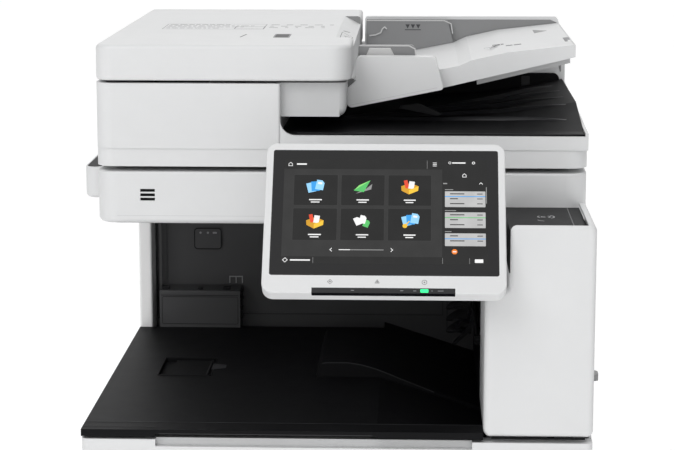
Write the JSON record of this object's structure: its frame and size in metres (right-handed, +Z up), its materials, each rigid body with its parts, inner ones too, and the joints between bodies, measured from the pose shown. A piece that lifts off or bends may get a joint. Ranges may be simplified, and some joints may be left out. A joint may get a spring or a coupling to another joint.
{
  "type": "photocopier",
  "caption": "Office copier and printer with document feeder, tilting touch panel, open output cavity, corner column, front door and paper cassettes.",
  "frame": {"origin": "on the floor, under the middle of the machine's whole box", "axes": "+X to the user's right, +Y away from the user, +Z up"},
  "size_m": [0.6075, 0.751, 0.9],
  "materials": {
    "white_plastic": "fine grain",
    "light_grey_plastic": "fine grain",
    "dark_grey_plastic": "fine grain",
    "black_plastic": "satin",
    "clear_grey_plastic": "gloss",
    "steel": "zinc plated",
    "platen_glass": "clear",
    "screen_glass": "gloss",
    "rubber": "matt",
    "drum_coating": "gloss",
    "white_foam": "matt",
    "circuit_board": "satin",
    "status_black": "gloss"
  },
  "bodies": {
    "machine": {"base_plate": "dark_grey_plastic", "feet": "rubber", "steel_frame": "steel", "side_covers": "white_plastic", "back_cover": "light_grey_plastic", "hinge_pins": "steel", "output_tray": "black_plastic", "cavity_back_wall": "dark_grey_plastic", "rear_pillar": "light_grey_plastic", "column_cover": "white_plastic", "column_top": "black_plastic", "exit_wall": "black_plastic", "developer_unit": "dark_grey_plastic", "laser_unit": "dark_grey_plastic", "main_electronics": "circuit_board", "rear_sockets": "black_plastic", "scanner_housing": "white_plastic", "scanner_top_frame": "light_grey_plastic", "scanner_glass": "platen_glass", "side_shelf": "white_plastic", "panel_arm": "dark_grey_plastic", "feeder_hinge_leaves": "steel"},
    "front_door": {"front_door": "white_plastic"},
    "lower_cassette": {"lower_cassette_front": "white_plastic", "lower_cassette_box": "light_grey_plastic"},
    "upper_cassette": {"upper_cassette_front": "white_plastic", "upper_cassette_box": "light_grey_plastic"},
    "lower_lift_plate": {"lower_lift_plate": "steel"},
    "upper_lift_plate": {"upper_lift_plate": "steel"},
    "right_door": {"right_door": "white_plastic"},
    "release_lever": {"release_lever": "light_grey_plastic"},
    "bypass_tray": {"bypass_tray": "white_plastic"},
    "bypass_extension": {"bypass_extension": "light_grey_plastic"},
    "paper_stopper": {"paper_stopper": "black_plastic"},
    "exit_fingers": {"exit_fingers": "black_plastic"},
    "photo_drum": {"photo_drum": "drum_coating"},
    "transfer_roller": {"transfer_roller": "rubber"},
    "heat_roller": {"heat_roller": "steel"},
    "pressure_roller": {"pressure_roller": "rubber"},
    "toner_bottle": {"toner_bottle": "dark_grey_plastic"},
    "power_switch": {"power_switch": "black_plastic"},
    "scan_carriage": {"scan_carriage": "dark_grey_plastic"},
    "control_panel": {"panel_shell": "white_plastic", "panel_bezel": "white_plastic", "screen_glass": "screen_glass", "status_strip": "status_black"},
    "document_feeder": {"feeder_base": "white_plastic", "platen_pad": "white_foam", "feed_unit": "white_plastic", "feeder_entry": "light_grey_plastic", "document_output": "black_plastic", "rear_unit": "white_plastic", "feeder_hinge_flaps": "steel"},
    "turn_roller": {"turn_roller": "rubber"},
    "pickup_roller": {"pickup_roller": "rubber"},
    "top_cover": {"top_cover": "white_plastic"},
    "feed_tray": {"feed_tray": "white_plastic"},
    "tray_extension": {"tray_extension": "light_grey_plastic"},
    "front_guide": {"front_guide": "clear_grey_plastic"},
    "rear_guide": {"rear_guide": "clear_grey_plastic"}
  },
  "joints": [
    {"name": "front_door_hinge", "type": "hinge", "parent": "machine", "child": "front_door", "pos_m": [0, -0.3155, 0.271], "axis": [1, 0, 0], "range_deg": [0, 90]},
    {"name": "lower_cassette_slide", "type": "slide", "parent": "machine", "child": "lower_cassette", "axis": [0, -1, 0], "range_m": [0, 0.42]},
    {"name": "upper_cassette_slide", "type": "slide", "parent": "machine", "child": "upper_cassette", "axis": [0, -1, 0], "range_m": [0, 0.42]},
    {"name": "lower_lift_hinge", "type": "hinge", "parent": "lower_cassette", "child": "lower_lift_plate", "pos_m": [-0.252, 0, 0.0532], "axis": [0, -1, 0], "range_deg": [0, 5]},
    {"name": "upper_lift_hinge", "type": "hinge", "parent": "upper_cassette", "child": "upper_lift_plate", "pos_m": [-0.252, 0, 0.1642], "axis": [0, -1, 0], "range_deg": [0, 5]},
    {"name": "right_door_hinge", "type": "hinge", "parent": "machine", "child": "right_door", "pos_m": [0.2765, 0.2725, 0.394], "axis": [0, 0, 1], "range_deg": [0, 75]},
    {"name": "release_lever_hinge", "type": "hinge", "parent": "right_door", "child": "release_lever", "pos_m": [0.2765, -0.1215, 0.504], "axis": [0, -1, 0], "range_deg": [0, 20], "stiffness_Nm_per_rad": 0.3},
    {"name": "bypass_tray_hinge", "type": "hinge", "parent": "right_door", "child": "bypass_tray", "pos_m": [0.279, 0.0735, 0.3055], "axis": [0, 1, 0], "range_deg": [0, 75]},
    {"name": "bypass_extension_slide", "type": "slide", "parent": "bypass_tray", "child": "bypass_extension", "axis": [0, 0, 1], "range_m": [0, 0.044]},
    {"name": "paper_stopper_hinge", "type": "hinge", "parent": "machine", "child": "paper_stopper", "pos_m": [-0.167, -0.0325, 0.4857], "axis": [0, 1, 0], "range_deg": [0, 80]},
    {"name": "exit_fingers_hinge", "type": "hinge", "parent": "machine", "child": "exit_fingers", "pos_m": [0.16, 0.0335, 0.552], "axis": [0, 1, 0], "range_deg": [0, 35]},
    {"name": "drum_spin", "type": "hinge", "parent": "machine", "child": "photo_drum", "pos_m": [0.212, 0.0585, 0.345], "axis": [0, 1, 0], "continuous": true},
    {"name": "transfer_spin", "type": "hinge", "parent": "machine", "child": "transfer_roller", "pos_m": [0.2404, 0.0585, 0.345], "axis": [0, 1, 0], "continuous": true},
    {"name": "heat_roller_spin", "type": "hinge", "parent": "machine", "child": "heat_roller", "pos_m": [0.218, 0.0585, 0.44], "axis": [0, 1, 0], "continuous": true},
    {"name": "pressure_roller_spin", "type": "hinge", "parent": "machine", "child": "pressure_roller", "pos_m": [0.2464, 0.0585, 0.44], "axis": [0, 1, 0], "continuous": true},
    {"name": "toner_bottle_spin", "type": "hinge", "parent": "machine", "child": "toner_bottle", "pos_m": [0.055, -0.0215, 0.4], "axis": [0, 1, 0], "continuous": true},
    {"name": "power_switch_rock", "type": "hinge", "parent": "machine", "child": "power_switch", "pos_m": [0.276, -0.2315, 0.445], "axis": [0, 1, 0], "range_deg": [-6, 6]},
    {"name": "scan_carriage_slide", "type": "slide", "parent": "machine", "child": "scan_carriage", "axis": [1, 0, 0], "range_m": [0, 0.44]},
    {"name": "panel_tilt", "type": "hinge", "parent": "machine", "child": "control_panel", "pos_m": [0.053, -0.3127, 0.6822], "axis": [-1, 0, 0], "range_deg": [-30, 45]},
    {"name": "feeder_lift", "type": "hinge", "parent": "machine", "child": "document_feeder", "pos_m": [0, 0.37, 0.757], "axis": [-1, 0, 0], "range_deg": [0, 75]},
    {"name": "turn_roller_spin", "type": "hinge", "parent": "document_feeder", "child": "turn_roller", "pos_m": [-0.225, 0.0785, 0.813], "axis": [0, 1, 0], "continuous": true},
    {"name": "pickup_roller_spin", "type": "hinge", "parent": "document_feeder", "child": "pickup_roller", "pos_m": [-0.022, 0.0585, 0.849], "axis": [0, 1, 0], "continuous": true},
    {"name": "top_cover_hinge", "type": "hinge", "parent": "document_feeder", "child": "top_cover", "pos_m": [-0.2795, 0.0785, 0.862], "axis": [0, -1, 0], "range_deg": [0, 60]},
    {"name": "feed_tray_lift", "type": "hinge", "parent": "document_feeder", "child": "feed_tray", "pos_m": [0.007, 0.0785, 0.846], "axis": [0, -1, 0], "range_deg": [0, 5]},
    {"name": "tray_extension_slide", "type": "slide", "parent": "feed_tray", "child": "tray_extension", "axis": [0.973, 0, 0.2307], "range_m": [0, 0.09]},
    {"name": "front_guide_slide", "type": "slide", "parent": "feed_tray", "child": "front_guide", "axis": [0, 1, 0], "range_m": [0, 0.09]},
    {"name": "rear_guide_slide", "type": "slide", "parent": "feed_tray", "child": "rear_guide", "axis": [0, 1, 0], "range_m": [-0.09, 0]}
  ],
  "couplings": [
    {"joint": "transfer_spin", "follows": "drum_spin", "ratio": -2.5},
    {"joint": "pressure_roller_spin", "follows": "heat_roller_spin", "ratio": -1.3333},
    {"joint": "rear_guide_slide", "follows": "front_guide_slide", "ratio": -1}
  ]
}
